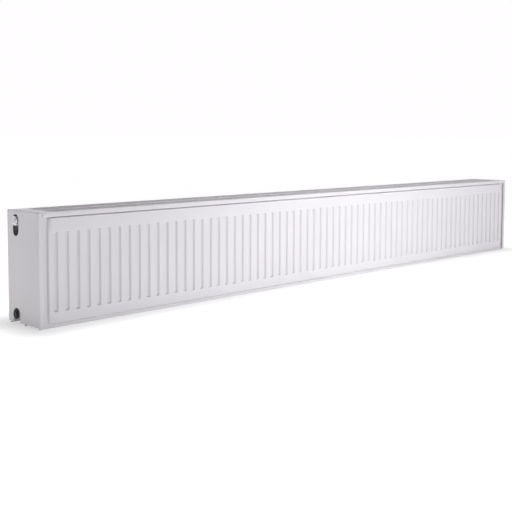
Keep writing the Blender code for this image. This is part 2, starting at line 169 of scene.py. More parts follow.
RIB_REACH = (0.0070, 0.0118)  # from the cap's axis
RIB_HEIGHTS = (0.0025, 0.0042)

# ---- cutters, metres ----
PAST = 0.01  # how far a cutter goes on past what it cuts
SHORT_PAST = 0.004
HAIR = 0.00002  # keeps two faces from lying in one plane

# ---- looks and smoothness ----
USUAL_NOISE = (0.3, 0.7)  # where most of a noise texture's values lie
TURNED_STEPS = 96
BEAD_STEPS = (64, 12)  # round the ring and round its tube


# ---- materials ----


def new_material(name, colour, roughness, metallic=0.0):
    """A material, its node tree and its shader."""
    material = bpy.data.materials.new(name)
    material.use_nodes = True
    shader = material.node_tree.nodes["Principled BSDF"]
    shader.inputs["Base Color"].default_value = (*colour, 1.0)
    shader.inputs["Roughness"].default_value = roughness
    shader.inputs["Metallic"].default_value = metallic
    return material, material.node_tree, shader


def map_range(tree, value, source_range, target_range, smooth=False):
    """Carries a value from one range to another, and holds it at the ends."""
    node = tree.nodes.new("ShaderNodeMapRange")
    node.interpolation_type = "SMOOTHSTEP" if smooth else "LINEAR"
    node.inputs["From Min"].default_value = source_range[0]
    node.inputs["From Max"].default_value = source_range[1]
    node.inputs["To Min"].default_value = target_range[0]
    node.inputs["To Max"].default_value = target_range[1]
    tree.links.new(value, node.inputs["Value"])
    return node.outputs["Result"]


def noise(tree, scale, detail):
    """Noise in object space; scale counts features per metre."""
    place = tree.nodes.new("ShaderNodeTexCoord")
    texture = tree.nodes.new("ShaderNodeTexNoise")
    texture.inputs["Scale"].default_value = scale
    texture.inputs["Detail"].default_value = detail
    tree.links.new(place.outputs["Object"], texture.inputs["Vector"])
    return texture.outputs["Fac"]


def spread_noise(tree, scale, detail, low, high):
    """Noise whose usual values run from low to high."""
    return map_range(tree, noise(tree, scale, detail), USUAL_NOISE, (low, high))


def tint(tree, value, low, high):
    """A colour between low and high."""
    node = tree.nodes.new("ShaderNodeMix")
    node.data_type = "RGBA"
    node.inputs["A"].default_value = (*low, 1.0)
    node.inputs["B"].default_value = (*high, 1.0)
    tree.links.new(value, node.inputs["Factor"])
    return node.outputs["Result"]


def vary_colour(tree, shader, scale, detail, low, high):
    """Lets the base colour drift between two colours."""
    colour = tint(tree, spread_noise(tree, scale, detail, 0.0, 1.0), low, high)
    tree.links.new(colour, shader.inputs["Base Color"])


def vary_roughness(tree, shader, scale, detail, low, high):
    """Lets the gloss drift between two roughnesses."""
    tree.links.new(spread_noise(tree, scale, detail, low, high), shader.inputs["Roughness"])


def grain(tree, shader, scale, detail, distance, strength):
    """Fine bumps, distance metres high at full strength."""
    node = tree.nodes.new("ShaderNodeBump")
    node.inputs["Strength"].default_value = strength
    node.inputs["Distance"].default_value = distance
    tree.links.new(noise(tree, scale, detail), node.inputs["Height"])
    tree.links.new(node.outputs["Normal"], shader.inputs["Normal"])


def powder_coat():
    """White satin powder coat: fine orange peel, and a film that varies a little in tone and gloss."""
    material, tree, shader = new_material("powder_coat", (0.690, 0.675, 0.703), 0.34)
    shader.inputs["Specular IOR Level"].default_value = 0.45
    shader.inputs["Coat Weight"].default_value = 0.12
    shader.inputs["Coat Roughness"].default_value = 0.22
    vary_colour(tree, shader, 5.0, 3.0, (0.680, 0.665, 0.693), (0.700, 0.685, 0.713))
    vary_roughness(tree, shader, 60.0, 2.0, 0.30, 0.39)
    grain(tree, shader, 700.0, 1.5, 0.00006, 0.55)
    return material


def painted_shade_coat():
    """Dark grey for the inner sheets and fins: painted shade for the hollows between the panels."""
    material, tree, shader = new_material("painted_shade_coat", (0.42, 0.41, 0.42), 0.5)
    vary_colour(tree, shader, 14.0, 3.0, (0.38, 0.375, 0.385), (0.46, 0.455, 0.465))
    grain(tree, shader, 500.0, 2.0, 0.00008, 0.6)
    return material


def plated():
    """Bright nickel-chrome plating that is a little uneven in its gloss."""
    material, tree, shader = new_material("plating", (0.78, 0.78, 0.80), 0.16, 1.0)
    vary_roughness(tree, shader, 250.0, 3.0, 0.10, 0.24)
    grain(tree, shader, 1500.0, 2.0, 0.00002, 0.4)
    return material


def zinc_steel():
    """Zinc-plated spring steel with a faint spangle."""
    material, tree, shader = new_material("zinc_steel", (0.62, 0.63, 0.65), 0.38, 1.0)
    vary_colour(tree, shader, 220.0, 4.0, (0.54, 0.55, 0.57), (0.68, 0.69, 0.70))
    vary_roughness(tree, shader, 180.0, 2.0, 0.30, 0.48)
    grain(tree, shader, 900.0, 2.0, 0.00003, 0.5)
    return material


def moulded(name, colour, paler, roughness, gloss):
    """Moulded plastic with a faint mottle."""
    material, tree, shader = new_material(name, colour, roughness)
    shader.inputs["Specular IOR Level"].default_value = gloss
    vary_colour(tree, shader, 160.0, 2.0, colour, paler)
    grain(tree, shader, 1600.0, 1.0, 0.00002, 0.5)
    return material


def seal_rubber():
    """Dull black rubber."""
    material, tree, shader = new_material("seal_rubber", (0.025, 0.025, 0.027), 0.65)
    vary_roughness(tree, shader, 300.0, 2.0, 0.55, 0.78)
    grain(tree, shader, 1400.0, 2.0, 0.00003, 0.6)
    return material


MATERIALS = {
    "enamel": powder_coat(),
    # the dark grey on the inner sheets and fins is painted shade between the panels
    "painted_shade": painted_shade_coat(),
    "spring_steel": zinc_steel(),
    "chrome": plated(),
    "vent_plastic": moulded("vent_plastic", (0.80, 0.80, 0.78), (0.85, 0.85, 0.83), 0.38, 0.5),
    "cap_plastic": moulded("cap_plastic", (0.006, 0.006, 0.0065), (0.010, 0.010, 0.011), 0.25, 0.3),
    "seal_rubber": seal_rubber(),
}


# ---- making pieces ----


def finish_piece(obj, node, body, slot, material=None, sharp=35):
    """Shades a piece, gives it its material, and lets it stand for a CAD node."""
    obj.data.materials.clear()
    obj.data.materials.append(MATERIALS[material or slot])
    obj.data.shade_smooth()
    obj.data.set_sharp_from_angle(angle=math.radians(sharp))
    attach(obj, body)
    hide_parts(node)


def add_mesh(name, mesh):
    """An object that shows the mesh."""
    obj = bpy.data.objects.new(name, mesh)
    bpy.context.scene.collection.objects.link(obj)
    return obj


def add_bmesh(name, bm):
    """An object made from a bmesh, with its faces turned outwards."""
    bmesh.ops.recalc_face_normals(bm, faces=bm.faces[:])
    mesh = bpy.data.meshes.new(name)
    bm.to_mesh(mesh)
    bm.free()
    return add_mesh(name, mesh)


def add_arrays(name, points, faces):
    """An object made from arrays of points and of faces."""
    mesh = bpy.data.meshes.new(name)
    mesh.from_pydata(points.tolist(), [], faces.tolist())
    return add_mesh(name, mesh)


def carve(obj, *steps):
    """Runs (operation, other) booleans on obj, removes the others and returns obj."""
    for operation, other in steps:
        modifier = obj.modifiers.new("carve", "BOOLEAN")
        modifier.operation = operation
        modifier.object = other
        modifier.solver = "EXACT"
    graph = bpy.context.evaluated_depsgraph_get()
    mesh = bpy.data.meshes.new_from_object(obj.evaluated_get(graph))
    obj.modifiers.clear()
    obj.data = mesh
    for _, other in steps:
        bpy.data.objects.remove(other)
    return obj


def triangulate(obj):
    """Splits bent faces, which a boolean can't be trusted to cut, into flat ones."""
    bm = bmesh.new()
    bm.from_mesh(obj.data)
    bmesh.ops.triangulate(bm, faces=bm.faces[:])
    bm.to_mesh(obj.data)
    bm.free()


def cylinder(name, radius, start, end, sides, top_radius=None):
    """A closed cylinder or cone from start to end."""
    along = Vector(end) - Vector(start)
    middle = (Vector(start) + Vector(end)) / 2
    turn = Vector((0, 0, 1)).rotation_difference(along).to_matrix().to_4x4()
    bm = bmesh.new()
    bmesh.ops.create_cone(
        bm,
        cap_ends=True,
        segments=sides,
        radius1=radius,
        radius2=radius if top_radius is None else top_radius,
        depth=along.length,
        matrix=Matrix.Translation(middle) @ turn,
    )
    return add_bmesh(name, bm)


def rod_x(name, radius, start, end, y, z, sides=64, top_radius=None):
    """A cylinder or cone along X."""
    return cylinder(name, radius, (start, y, z), (end, y, z), sides, top_radius)


def rod_y(name, radius, x, start, end, z, sides=64):
    """A cylinder along Y."""
    return cylinder(name, radius, (x, start, z), (x, end, z), sides)


def box(name, low, high, radius=0.0, segments=3, chosen=None):
    """A box, with the edges that chosen(edge) picks rounded to radius."""
    bm = bmesh.new()
    size = Vector(high) - Vector(low)
    centre = (Vector(high) + Vector(low)) / 2
    place = Matrix.Translation(centre) @ Matrix.Diagonal((*size, 1.0))
    bmesh.ops.create_cube(bm, size=1.0, matrix=place)
    if radius:
        edges = [edge for edge in bm.edges if chosen is None or chosen(edge)]
        bmesh.ops.bevel(bm, geom=edges, offset=radius, segments=segments, profile=0.5, affect="EDGES")
    return add_bmesh(name, bm)


def turned(name, profile, place, outward):
    """A closed profile of (radius, height) turned about X at place; height grows towards outward."""
    solid_axis = profile[0][0] == 0
    angles = np.linspace(0, 2 * math.pi, TURNED_STEPS, endpoint=False)
    bm = bmesh.new()
    rings = []
    for radius, height in profile:
        count = 1 if radius == 0 else TURNED_STEPS
        ring = []
        for angle in angles[:count]:
            y = place[1] + radius * math.cos(angle)
            z = place[2] + radius * math.sin(angle)
            ring.append(bm.verts.new((place[0] + outward * height, y, z)))
        rings.append(ring)
    pairs = list(zip(rings, rings[1:]))
    if not solid_axis:
        pairs.append((rings[-1], rings[0]))
    for one, other in pairs:
        for i in range(TURNED_STEPS):
            j = (i + 1) % TURNED_STEPS
            corners = [one[i % len(one)], one[j % len(one)]]
            corners += [other[j % len(other)], other[i % len(other)]]
            bm.faces.new(list(dict.fromkeys(corners)))
    return add_bmesh(name, bm)


def rounded_path(corners, radius, pieces):
    """The corners of an open path with each bend turned into an arc of that radius."""
    points = [np.array(corners[0], float)]
    for before, here, after in zip(corners, corners[1:], corners[2:]):
        before, here, after = (np.array(p, float) for p in (before, here, after))
        back = (before - here) / np.linalg.norm(before - here)
        on = (after - here) / np.linalg.norm(after - here)
        half = math.acos(max(-1.0, min(1.0, float(back @ on)))) / 2
        reach = radius / math.tan(half)
        centre = here + (back + on) / np.linalg.norm(back + on) * radius / math.sin(half)
        start, end = here + back * reach - centre, here + on * reach - centre
        turn = math.acos(max(-1.0, min(1.0, float(start @ end) / radius**2)))
        sign = 1.0 if start[0] * end[1] - start[1] * end[0] > 0 else -1.0
        for i in range(pieces + 1):
            angle = sign * turn * i / pieces
            cos, sin = math.cos(angle), math.sin(angle)
            spun = (start[0] * cos - start[1] * sin, start[0] * sin + start[1] * cos)
            points.append(centre + np.array(spun))
    points.append(np.array(corners[-1], float))
    return np.array(points)


def bent_strip(name, path, thickness, place, stations):
    """A sheet bent to a 2D path; place(u, v, w) puts path point (u, v) at each w of stations."""
    ahead = np.diff(path, axis=0)
    ahead /= np.linalg.norm(ahead, axis=1)[:, None]
    sides = np.stack([-ahead[:, 1], ahead[:, 0]], axis=1)
    normals = np.vstack([sides[:1], sides[:-1] + sides[1:], sides[-1:]])
    normals /= np.linalg.norm(normals, axis=1)[:, None]
    meets = np.concatenate([[1.0], np.sum(normals[1:-1] * sides[:-1], axis=1), [1.0]])
    offset = normals * (thickness / 2 / meets)[:, None]
    outline = np.vstack([path + offset, (path - offset)[::-1]])
    count = len(path)
    bm = bmesh.new()
    rings = [[bm.verts.new(place(u, v, w)) for u, v in outline] for w in stations]
    for one, other in zip(rings, rings[1:]):
        for i in range(2 * count):
            j = (i + 1) % (2 * count)
            bm.faces.new((one[i], one[j], other[j], other[i]))
    for ring in (rings[0], rings[-1]):
        for i in range(count - 1):
            bm.faces.new((ring[i], ring[i + 1], ring[2 * count - 2 - i], ring[2 * count - 1 - i]))
    return add_bmesh(name, bm)


def torus(name, ring_radius, tube_radius, centre, axis):
    """A weld bead or O-ring round axis."""
    turn = Vector((0, 0, 1)).rotation_difference(Vector(axis)).to_matrix().to_4x4()
    place = Matrix.Translation(Vector(centre)) @ turn
    ring_steps, tube_steps = BEAD_STEPS
    bm = bmesh.new()
    grid = []
    for i in range(ring_steps):
        around = 2 * math.pi * i / ring_steps
        ring = []
        for j in range(tube_steps):
            turned_by = 2 * math.pi * j / tube_steps
            reach = ring_radius + tube_radius * math.cos(turned_by)
            height = tube_radius * math.sin(turned_by)
            point = (reach * math.cos(around), reach * math.sin(around), height)
            ring.append(bm.verts.new(place @ Vector(point)))
        grid.append(ring)
    for i in range(ring_steps):
        one, other = grid[i], grid[(i + 1) % ring_steps]
        for j in range(tube_steps):
            k = (j + 1) % tube_steps
            bm.faces.new((one[j], other[j], other[k], one[k]))
    return add_bmesh(name, bm)


# ---- pressed panel sheets ----


def ramp(t):
    """A smooth rise from 0 at t = 0 to 1 at t = 1."""
    t = np.clip(t, 0.0, 1.0)
    return t * t * (3 - 2 * t)


def groove_offset(x):
    """Distance along X to the middle of the nearest groove; far away where there is none."""
    first = -(GROOVE_COUNT - 1) / 2 * GROOVE_PITCH
    number = np.clip(np.round((x - first) / GROOVE_PITCH), 0, GROOVE_COUNT - 1)
    return np.abs(x - first - number * GROOVE_PITCH)


def rounded_box_distance(over_x, over_z, corner):
    """Distance outside a box with round corners, from how far a point is past the corners' centres."""
    beyond = np.hypot(np.maximum(over_x, 0.0), np.maximum(over_z, 0.0))
    return beyond + np.minimum(np.maximum(over_x, over_z), 0.0) - corner


def field_distance(x, z, field_end, panel_top):
    """How far (x, z) lies outside the raised field; negative on it."""
    over_x = np.abs(x) - field_end + FIELD_CORNER
    over_z = np.abs(z - panel_top / 2) - panel_top / 2 + RIM + FIELD_CORNER
    return rounded_box_distance(over_x, over_z, FIELD_CORNER)


def press_rise(x, z, field_end, panel_top):
    """How far the press lifts the sheet at (x, z): 0 on the rim and in the grooves, 1 on the field."""
    past_x = groove_offset(x) - GROOVE_HALF + GROOVE_CORNER
    past_z = np.maximum(GROOVE_LOW - z, z - GROOVE_HIGH) + GROOVE_CORNER
    outside_groove = rounded_box_distance(past_x, past_z, GROOVE_CORNER)
    return ramp(-field_distance(x, z, field_end, panel_top) / SLOPE) * ramp(outside_groove / SLOPE + 1)


def press_marks(x, z, panel_end, field_end, panel_top):
    """How deep the seam weld, the crease at the field's foot and the spot welds are at (x, z)."""
    from_edge = np.minimum(panel_end - np.abs(x), np.minimum(z, panel_top - z))
    seam = 1 - ramp(np.abs(from_edge - SEAM_FROM_EDGE) / SEAM_HALF)
    crease = 1 - ramp(np.abs(field_distance(x, z, field_end, panel_top)) / CREASE_HALF)
    spots = np.zeros_like(x)
    for height in SPOT_HEIGHTS:
        distance = np.hypot(groove_offset(x), z - height)
        spots = np.maximum(spots, 1 - ramp((distance / SPOT_RADIUS - SPOT_FLAT) / (1 - SPOT_FLAT)))
    return SEAM_DEPTH * seam + CREASE_DEPTH * crease + SPOT_DEPTH * spots


def edge_lines(rim, fine):
    """Distances from a sheet's edge to the lines that its seam weld, crease and step need."""
    if not fine:
        return np.concatenate([[0.0], rim + PLAIN_LINES])
    seam = SEAM_FROM_EDGE + SEAM_HALF * np.array([-1.0, 0.0, 1.0])
    crease = rim + CREASE_HALF * np.array([-1.0, -0.5, 0.0, 0.5])
    return np.concatenate([[0.0], seam, crease, rim + STEP_LINES])


def sheet_lines(panel_end, panel_top, end_rim, fine):
    """The X and Z lines of a sheet's mesh, closer together where the press bends it."""
    ends, steps = edge_lines(end_rim, fine), edge_lines(RIM, fine)
    inwards = WALL_LINES if fine else PLAIN_LINES
    floor = [FLOOR_LINE] if fine else []
    wall = np.concatenate([floor, GROOVE_HALF - inwards[::-1]])
    near = np.concatenate([-wall[::-1], [0.0] if fine else [], wall, [GROOVE_PITCH / 2]])
    middles = (np.arange(GROOVE_COUNT) - (GROOVE_COUNT - 1) / 2) * GROOVE_PITCH
    grooves = (middles[:, None] + near[None, :]).ravel()
    x = np.concatenate([-panel_end + ends, grooves[:-1], (panel_end - ends)[::-1]])
    turn = np.array([*inwards, GROOVE_CORNER] if fine else inwards)
    up = [steps, GROOVE_LOW + turn, GROOVE_HIGH - turn, panel_top - steps]
    if fine:
        spot = SPOT_RADIUS * np.array([-1.0, -SPOT_FLAT, SPOT_FLAT, 1.0])
        up += [height + spot for height in SPOT_HEIGHTS]
    return np.sort(x), np.sort(np.concatenate(up))


def closed_sheet(name, x, z, front_y, back_y):
    """A closed body from two surfaces over one grid of X and Z lines; front_y is nearer the front."""
    columns, rows = len(x), len(z)
    grid_x, grid_z = np.meshgrid(x, z, indexing="ij")
    layers = [np.stack([grid_x, y, grid_z], axis=-1).reshape(-1, 3) for y in (front_y, back_y)]
    index = np.arange(columns * rows).reshape(columns, rows)
    behind = index + columns * rows
    a, b, c, d = index[:-1, :-1], index[1:, :-1], index[1:, 1:], index[:-1, 1:]
    front = np.stack([a, b, c, d], axis=-1).reshape(-1, 4)
    back = front[:, ::-1] + columns * rows
    walls = []
    for edge, other, turn in (
        (index[:, 0], behind[:, 0], True),
        (index[:, -1], behind[:, -1], False),
        (index[0, :], behind[0, :], False),
        (index[-1, :], behind[-1, :], True),
    ):
        wall = np.stack([edge[:-1], edge[1:], other[1:], other[:-1]], axis=-1)
        walls.append(wall[:, ::-1] if turn else wall)
    return add_arrays(name, np.vstack(layers), np.vstack([front, back, *walls]))


def pressed_sheet(node, bulge, fine):
    """One pressed half of a panel; bulge is -1 where it stands out to the front, +1 to the back."""
    low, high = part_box(node)
    panel_end, panel_top = high.x, high.z
    end_rim = END_RIM if fine else RIM
    x, z = sheet_lines(panel_end, panel_top, end_rim, fine)
    grid_x, grid_z = np.meshgrid(x, z, indexing="ij")
    depth = high.y - low.y - SHEET
    proud = low.y if bulge < 0 else high.y
    field_end = panel_end - end_rim
    sunk = depth * (1 - press_rise(grid_x, grid_z, field_end, panel_top))
    marks = press_marks(grid_x, grid_z, panel_end, field_end, panel_top) if fine else 0.0
    outer = proud - bulge * (sunk + marks)
    inner = proud - bulge * (sunk + SHEET)
    front, back = (outer, inner) if bulge < 0 else (inner, outer)
    return closed_sheet(node.replace("_sheet", "_pressing"), x, z, front, back)


def port(name, x, y, z):
    """A cutter for the hole that lets water through a sheet at (x, y, z)."""
    reach = 0.012
    return rod_y(name, PORT_RADIUS, x, y - reach, y + reach, z, 32)


def water_panels():
    """The three panels' six sheets, with water ports through the four that face another panel."""
    tee_x = (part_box("tee_top_right")[0].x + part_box("spacer_tube_top_right")[1].x) / 2
    for place in ("front", "middle", "rear"):
        for side, bulge in (("front", -1), ("back", 1)):
            node = f"{place}_panel_{side}_sheet"
            fine = place == side or (place, side) == ("rear", "back")
            sheet = pressed_sheet(node, bulge, fine)
            if not fine:
                triangulate(sheet)
                y = sum(corner.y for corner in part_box(node)) / 2
                spots = [(x, z) for x in (-tee_x, tee_x) for z in (FITTING_LOW, FITTING_HIGH)]
                ports = [port(f"port_{i}", x, y, z) for i, (x, z) in enumerate(spots)]
                carve(sheet, *[("DIFFERENCE", one) for one in ports])
            # the four inner sheets take the dark grey that paints the shade between the panels
            finish_piece(sheet, node, "radiator", "enamel", None if fine else "painted_shade", sharp=60)


# ---- convectors ----


def convector(node, towards):
    """A fin sheet with one U-shaped channel for each waterway; its feet lie on the panel."""
    low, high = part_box(node)
    foot = (low.y if towards > 0 else high.y) + towards * FIN_SHEET / 2
    crest = (high.y if towards > 0 else low.y) - towards * FIN_SHEET / 2
    foot_reach = GROOVE_PITCH / 2 - FIN_FOOT_HALF
    corners = []
    for i in range(FIN_COUNT):
        middle = (i - (FIN_COUNT - 1) / 2) * GROOVE_PITCH
        corners += [(middle - foot_reach, foot), (middle - FIN_CREST_HALF, crest)]
        corners += [(middle + FIN_CREST_HALF, crest), (middle + foot_reach, foot)]
    path = rounded_path(corners, FIN_BEND, 3)
    fins = bent_strip(node + "_fins", path, FIN_SHEET, lambda u, v, w: (u, v, w), (low.z, high.z))
    # the fins take the dark grey that paints the shade between the panels
    finish_piece(fins, node, "radiator", "enamel", "painted_shade", sharp=50)


# ---- waterway connections ----


def weld_bead(name, radius, centre):
    """A weld round the end of a tube that runs along Y."""
    bead = torus(name, radius + WELD_PROUD, WELD_RADIUS, centre, (0, 1, 0))
    bead.data.materials.append(MATERIALS["enamel"])
    bead.data.shade_smooth()
    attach(bead, "radiator")


def connection(level, end, side, z):
    """The spacer tube and the tee at one corner of the panels, with a weld round each of their ends."""
    tube_node, tee_node = f"spacer_tube_{level}_{end}", f"tee_{level}_{end}"
    tube_low, tube_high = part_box(tube_node)
    x = (tube_low.x + tube_high.x) / 2
    radius = (tube_high.z - tube_low.z) / 2
    tube = rod_y(f"connecting_tube_{level}_{end}", radius, x, tube_low.y, tube_high.y, z)
    bore = rod_y("bore", PORT_RADIUS, x, tube_low.y - PAST, tube_high.y + PAST, z)
    finish_piece(carve(tube, ("DIFFERENCE", bore)), tube_node, "radiator", "enamel")

    low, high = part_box(tee_node)
    face = side * END
    boss_root, tapping_root = x + side * BOSS_FROM_TUBE, x + side * TAPPING_FROM_TUBE
    boss_end, lip_start = face - side * BOSS_CHAMFER, face - side * (BOSS_CHAMFER + HAIR)
    lip_radius = BOSS_RADIUS - BOSS_CHAMFER
    tee = rod_y(f"tapping_tee_{level}_{end}", radius, x, low.y, high.y, z)
    boss = rod_x("boss", BOSS_RADIUS, boss_root, boss_end, FITTING_Y, z)
    lip = rod_x("lip", BOSS_RADIUS, lip_start, face, FITTING_Y, z, top_radius=lip_radius)
    water = rod_y("water", PORT_RADIUS, x, low.y - PAST, high.y + PAST, z)
    tapping = rod_x("tapping", TAPPING_RADIUS, tapping_root, face + side * SHORT_PAST, FITTING_Y, z)
    steps = [("UNION", boss), ("UNION", lip), ("DIFFERENCE", water), ("DIFFERENCE", tapping)]
    finish_piece(carve(tee, *steps), tee_node, "radiator", "enamel")

    tube_ends = (tube_low.y + WELD_FROM_END, tube_high.y - WELD_FROM_END)
    tee_ends = (low.y + WELD_FROM_END, high.y - WELD_FROM_END)
    for number, y in enumerate(tube_ends + tee_ends):
        weld_bead(f"weld_{level}_{end}_{number}", radius, (x, y, z))


def connections():
    """Spacer tubes and tees at all four corners of the panels."""
    for end, side in (("left", -1), ("right", 1)):
        for level, z in (("bottom", FITTING_LOW), ("top", FITTING_HIGH)):
            connection(level, end, side, z)


# ---- side covers ----


def long_hole(name, radius, side, low, high):
    """A cutter with round ends through a side cover, from low to high in Z."""
    inner, outer = side * (END - SHORT_PAST), side * (END + SHORT_PAST)
    hole = rod_x(name, radius, inner, outer, FITTING_Y, low + radius)
    # the circle's upper half moves up, which leaves straight sides between the halves
    for corner in hole.data.vertices:
        if corner.co.z > low + radius + 1e-6:
            corner.co.z += high - low - 2 * radius
    return hole


def side_cover(end, side):
    """A folded tray over the panels' ends, with flanges that turn in again and relief holes on top."""
    node = f"side_cover_{end}"
    low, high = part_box(node)

    def folded(edge):
        """Picks the upright edges and those round the top, but not the one over the tray's mouth."""
        middle = (edge.verts[0].co + edge.verts[1].co) / 2
        upright = abs(edge.verts[0].co.z - edge.verts[1].co.z) > TOP / 2
        at_top = middle.z > TOP - 2 * COVER_SHEET
        at_side = abs(middle.y - MIDDLE_Y) > (BACK_Y - FRONT_Y) / 4
        return upright or (at_top and (at_side or abs(middle.x) > END - 2 * COVER_SHEET))

    cover = box(f"end_cover_{end}", low, high, BEND, 5, folded)
    face, mouth = side * (END - COVER_SHEET), side * (END - FLANGE + COVER_SHEET)
    past = side * (END - FLANGE - PAST)
    shared = mouth + side * COVER_SHEET  # where the mouth's cutter starts, inside the hollow
    inner_low = (min(face, mouth), low.y + COVER_SHEET, low.z - PAST)
    inner_high = (max(face, mouth), high.y - COVER_SHEET, high.z - COVER_SHEET)
    open_low = (min(shared, past), low.y + RETURN, low.z - PAST)
    open_high = (max(shared, past), high.y - RETURN, high.z - COVER_SHEET - HAIR)
    steps = [
        ("DIFFERENCE", box("hollow", inner_low, inner_high, BEND - COVER_SHEET, 5, folded)),
        ("DIFFERENCE", box("mouth", open_low, open_high)),
        ("DIFFERENCE", long_hole("slot", SLOT_RADIUS, side, SLOT_LOW, SLOT_HIGH)),
        ("DIFFERENCE", long_hole("notch", NOTCH_RADIUS, side, NOTCH_LOW, FITTING_LOW + NOTCH_RADIUS)),
    ]
    start, stop = side * (END - RELIEF_DEPTH), side * (END + COVER_SHEET)
    for number, y in enumerate((low.y + RELIEF_FROM_SIDE, high.y - RELIEF_FROM_SIDE)):
        relief = rod_x(f"relief_{number}", RELIEF_RADIUS, start, stop, y, TOP - RELIEF_FROM_TOP, 24)
        steps.append(("DIFFERENCE", relief))
    finish_piece(carve(cover, *steps), node, f"{end}_cover", "enamel")


# ---- top grille ----


def slot_cutters(y):
    """One body for each air slot of a lane, all in one object."""
    radius = VENT_WIDTH / 2
    reach = VENT_LENGTH / 2 - radius
    turns = 5
    depth = 0.005
    arc = [math.pi * i / turns for i in range(turns + 1)]
    outline = [(radius * math.cos(a), reach + radius * math.sin(a)) for a in arc]
    outline += [(-u, -v) for u, v in outline]
    bm = bmesh.new()
    for i in range(VENT_COUNT):
        x = (i - (VENT_COUNT - 1) / 2) * VENT_PITCH
        lower = [bm.verts.new((x + u, y + v, TOP - depth)) for u, v in outline]
        upper = [bm.verts.new((x + u, y + v, TOP + depth)) for u, v in outline]
        bm.faces.new(lower[::-1])
        bm.faces.new(upper)
        for j in range(len(outline)):
            k = (j + 1) % len(outline)
            bm.faces.new((lower[j], lower[k], upper[k], upper[j]))
    return add_bmesh("slots", bm)


def top_grille():
    """A channel of sheet steel: a slotted lane over each air gap, and a shallow bead between them."""
    low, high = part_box("top_grille")
    half = COVER_SHEET / 2
    bend = BEND - half
    front, back, top = low.y + half, high.y - half, high.z - half
    hem, foot = RETURN - half, low.z + half
    left, right, dip = MIDDLE_Y - BEAD_HALF, MIDDLE_Y + BEAD_HALF, top - BEAD_DEPTH
    corners = [(front + hem, foot), (front, foot), (front, top), (left, top), (left + BEAD_SLOPE, dip)]
    corners += [(right - BEAD_SLOPE, dip), (right, top), (back, top), (back, foot), (back - hem, foot)]
    front_path = rounded_path(corners[:4], bend, 6)[:-1]
    bead_path = rounded_path(corners[2:-2], BEAD_BEND, 4)[1:-1]
    back_path = rounded_path(corners[-4:], bend, 6)[1:]
    path = np.vstack([front_path, bead_path, back_path])
    grille = bent_strip("slotted_grille", path, COVER_SHEET, lambda u, v, w: (w, u, v), (low.x, high.x))
    lanes = [sum(c.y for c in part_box(f"{tube}_top_left")) / 2 for tube in ("spacer_tube", "tee")]
    steps = [("DIFFERENCE", slot_cutters(y)) for y in lanes]
    finish_piece(carve(grille, *steps), "top_grille", "grille", "enamel", sharp=30)


# ---- lugs and clips ----


def hanging_lug(node):
    """A bent strap with rounded folds; two spot welds show on each foot."""
    low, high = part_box(node)
    foot, web = low.y + LUG_SHEET / 2, high.y - LUG_SHEET / 2
    x = (low.x + high.x) / 2
    half = (high.x - low.x) / 2 - LUG_FOOT - LUG_SHEET / 2
    left, right = x - half, x + half
    corners = [(low.x, foot), (left, foot), (left, web), (right, web), (right, foot), (high.x, foot)]
    path = rounded_path(corners, LUG_BEND, 5)
    strap = bent_strip(node + "_strap", path, LUG_SHEET, lambda u, v, w: (u, v, w), (low.z, high.z))
    dimples = []
    for sign in (-1, 1):
        for z in (low.z + DIMPLE_FROM_END, high.z - DIMPLE_FROM_END):
            spot = (x + sign * (half + DIMPLE_FROM_WEB), low.y + LUG_SHEET + DIMPLE_PROUD, z)
            place = Matrix.Translation(spot)
            bm = bmesh.new()
            bmesh.ops.create_uvsphere(
                bm, u_segments=20, v_segments=12, radius=DIMPLE_RADIUS, matrix=place
            )
            dimples.append(("DIFFERENCE", add_bmesh("dimple", bm)))
    finish_piece(carve(strap, *dimples), node, "radiator", "enamel")


def spring_clip(node, along, outward):
    """A U-shaped spring clip: along is its width axis and outward points from its legs to its web."""
    low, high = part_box(node)
    half = CLIP_SHEET / 2
    axis = "xyz".index(outward[1])
    sign = 1 if outward[0] == "+" else -1
    front, back = low.y + half, high.y - half
    web = (high[axis] if sign > 0 else low[axis]) - sign * half
    tip = low[axis] if sign > 0 else high[axis]
    waist = tip + sign * CLIP_LEAD
    corners = [(front, tip), (front + CLIP_PINCH, waist), (front, web)]
    corners += [(back, web), (back - CLIP_PINCH, waist), (back, tip)]
    path = rounded_path(corners, CLIP_BEND, 4)
    name = node + "_spring"
    if along == "x":
        strip = bent_strip(name, path, CLIP_SHEET, lambda u, v, w: (w, u, v), (low.x, high.x))
    else:
        strip = bent_strip(name, path, CLIP_SHEET, lambda u, v, w: (v, u, w), (low.z, high.z))
    finish_piece(strip, node, "radiator", "spring_steel")


# ---- fittings ----


def vent_plug():
    """The bleed valve's plated plug, with six hollows round its edge to grip it by."""
    profile = [
        (0.0117, 0.0040), (0.0121, 0.00385), (0.0125, 0.0034), (0.0125, 0.0024), (0.0121, 0.0020),
        (0.0091, 0.0020), (0.0091, -0.0095), (0.0086, -0.0100), (0.0020, -0.0100),
        (0.0020, -0.0075), (0.0044, -0.0055), (0.0044, 0.0028), (0.0089, 0.0028),
        (0.0089, 0.0037), (0.0092, 0.0040),
    ]
    body = turned("vent_plug_body", profile, VENT_PLACE, -1)
    start, stop = (-END - height for height in GRIP_HEIGHTS)
    grips = []
    for i in range(GRIP_COUNT):
        angle = math.pi * (2 * i + 1) / GRIP_COUNT
        y, z = FITTING_Y + GRIP_CIRCLE * math.cos(angle), FITTING_HIGH + GRIP_CIRCLE * math.sin(angle)
        grips.append(("DIFFERENCE", rod_x("grip", GRIP_RADIUS, start, stop, y, z, 32)))
    finish_piece(carve(body, *grips), "vent_plug", "radiator", "chrome")


def vent_block(name, heights, half_width, low_z, high_z, *rounding):
    """A box on the bleed valve, between two heights; rounding is box's radius and segments."""
    low = (-END - heights[1], FITTING_Y - half_width, low_z)
    high = (-END - heights[0], FITTING_Y + half_width, high_z)
    return box(name, low, high, *rounding)


